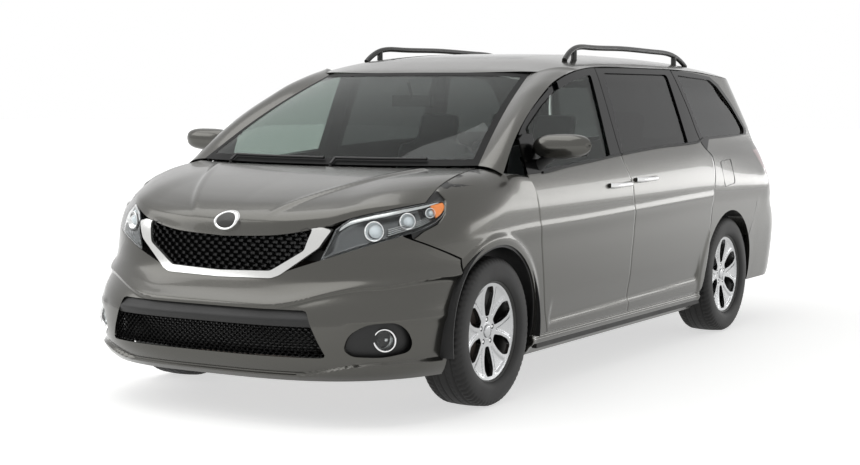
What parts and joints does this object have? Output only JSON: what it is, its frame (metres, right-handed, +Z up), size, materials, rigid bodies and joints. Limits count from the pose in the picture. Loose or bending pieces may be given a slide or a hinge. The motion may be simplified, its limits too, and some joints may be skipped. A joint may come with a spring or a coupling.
{
  "type": "minivan",
  "caption": "Full-size family minivan with hinged front doors, hood, tailgate and steered front wheels.",
  "frame": {"origin": "on the ground under the middle of the vehicle, halfway along and across its bounding box", "axes": "+X to the vehicle's left, +Y to its rear, +Z up"},
  "size_m": [2.457, 5.076, 1.75],
  "materials": {
    "paint": "metallic gloss",
    "bright_trim": "polished",
    "black_trim": "satin",
    "lamp_lens": "clear",
    "clear_glass": "clear",
    "dark_glass": "dark tint",
    "red_lens": "gloss",
    "rail_grey": "satin",
    "body_steel": "satin",
    "cabin_plastic": "matte",
    "cast_iron": "rough",
    "engine_alloy": "cast",
    "exhaust_steel": "satin",
    "seat_cloth": "woven",
    "tyre_rubber": "matte",
    "wheel_alloy": "machined"
  },
  "bodies": {
    "body_shell": {"body_sides": "paint", "cowl_panel": "black_trim", "dashboard": "cabin_plastic", "door_pillars": "paint", "engine_block": "engine_alloy", "exhaust": "exhaust_steel", "floor_pan": "body_steel", "fog_lamps": "lamp_lens", "front_bumper": "paint", "front_fenders": "paint", "front_seats": "seat_cloth", "front_structure": "body_steel", "front_suspension": "cast_iron", "front_wheelhouses": "black_trim", "fuel_tank": "black_trim", "grille_trim": "bright_trim", "headlamps": "lamp_lens", "inner_mirror": "black_trim", "lower_grille": "black_trim", "quarter_glasses": "dark_glass", "rear_axle": "cast_iron", "rear_bumper": "paint", "rear_wheelhouses": "black_trim", "roof_panel": "paint", "roof_rails": "rail_grey", "second_row_seats": "seat_cloth", "sills": "paint", "sliding_door_glasses": "dark_glass", "sliding_doors": "paint", "sunroof_glass": "dark_glass", "tail_lamps": "red_lens", "third_row_seat": "seat_cloth", "upper_grille": "black_trim", "windshield": "clear_glass", "windshield_pillars": "paint", "wipers": "black_trim"},
    "front_door_left": {"front_door_glass_left": "clear_glass", "front_door_left": "paint", "mirror_left": "paint"},
    "front_door_right": {"front_door_glass_right": "clear_glass", "front_door_right": "paint", "mirror_right": "paint"},
    "front_knuckle_left": {"knuckle_front_left": "cast_iron"},
    "front_knuckle_right": {"knuckle_front_right": "cast_iron"},
    "front_wheel_left": {"rim_front_left": "wheel_alloy", "tyre_front_left": "tyre_rubber"},
    "front_wheel_right": {"rim_front_right": "wheel_alloy", "tyre_front_right": "tyre_rubber"},
    "hood": {"hood": "paint"},
    "rear_wheel_left": {"rim_rear_left": "wheel_alloy", "tyre_rear_left": "tyre_rubber"},
    "rear_wheel_right": {"rim_rear_right": "wheel_alloy", "tyre_rear_right": "tyre_rubber"},
    "steering_wheel": {"steering_wheel": "cabin_plastic"},
    "tailgate": {"tailgate": "paint", "tailgate_glass": "dark_glass"}
  },
  "joints": [
    {"name": "front_door_left_hinge", "type": "hinge", "parent": "body_shell", "child": "front_door_left", "pos_m": [0.958, -1.03013, 0.7], "axis": [0, 0, -1], "range_deg": [0, 65]},
    {"name": "front_door_right_hinge", "type": "hinge", "parent": "body_shell", "child": "front_door_right", "pos_m": [-0.958, -1.03013, 0.7], "axis": [0, 0, 1], "range_deg": [0, 65]},
    {"name": "hood_hinge", "type": "hinge", "parent": "body_shell", "child": "hood", "pos_m": [0, -1.5, 1.106], "axis": [-1, 0, 0], "range_deg": [0, 50]},
    {"name": "tailgate_hinge", "type": "hinge", "parent": "body_shell", "child": "tailgate", "pos_m": [0, 2.13266, 1.6244], "axis": [1, 0, 0], "range_deg": [0, 78]},
    {"name": "steering_left", "type": "hinge", "parent": "body_shell", "child": "front_knuckle_left", "pos_m": [0.75449, -1.5725, 0.356], "axis": [-0.1606, 0, 0.987], "range_deg": [-36, 36]},
    {"name": "front_wheel_left_spin", "type": "hinge", "parent": "front_knuckle_left", "child": "front_wheel_left", "pos_m": [0.86, -1.5725, 0.356], "axis": [1, 0, 0], "continuous": true},
    {"name": "rear_wheel_left_spin", "type": "hinge", "parent": "body_shell", "child": "rear_wheel_left", "pos_m": [0.86, 1.4575, 0.356], "axis": [1, 0, 0], "continuous": true},
    {"name": "steering_right", "type": "hinge", "parent": "body_shell", "child": "front_knuckle_right", "pos_m": [-0.75449, -1.5725, 0.356], "axis": [0.1606, 0, 0.987], "range_deg": [-36, 36]},
    {"name": "front_wheel_right_spin", "type": "hinge", "parent": "front_knuckle_right", "child": "front_wheel_right", "pos_m": [-0.86, -1.5725, 0.356], "axis": [1, 0, 0], "continuous": true},
    {"name": "rear_wheel_right_spin", "type": "hinge", "parent": "body_shell", "child": "rear_wheel_right", "pos_m": [-0.86, 1.4575, 0.356], "axis": [1, 0, 0], "continuous": true},
    {"name": "steering_wheel_turn", "type": "hinge", "parent": "body_shell", "child": "steering_wheel", "pos_m": [0.3796, -0.8574, 0.904], "axis": [0, 0.922, 0.3872], "range_deg": [-540, 540]}
  ],
  "couplings": [
    {"joint": "steering_right", "follows": "steering_left", "ratio": 1},
    {"joint": "steering_wheel_turn", "follows": "steering_left", "ratio": 15}
  ]
}
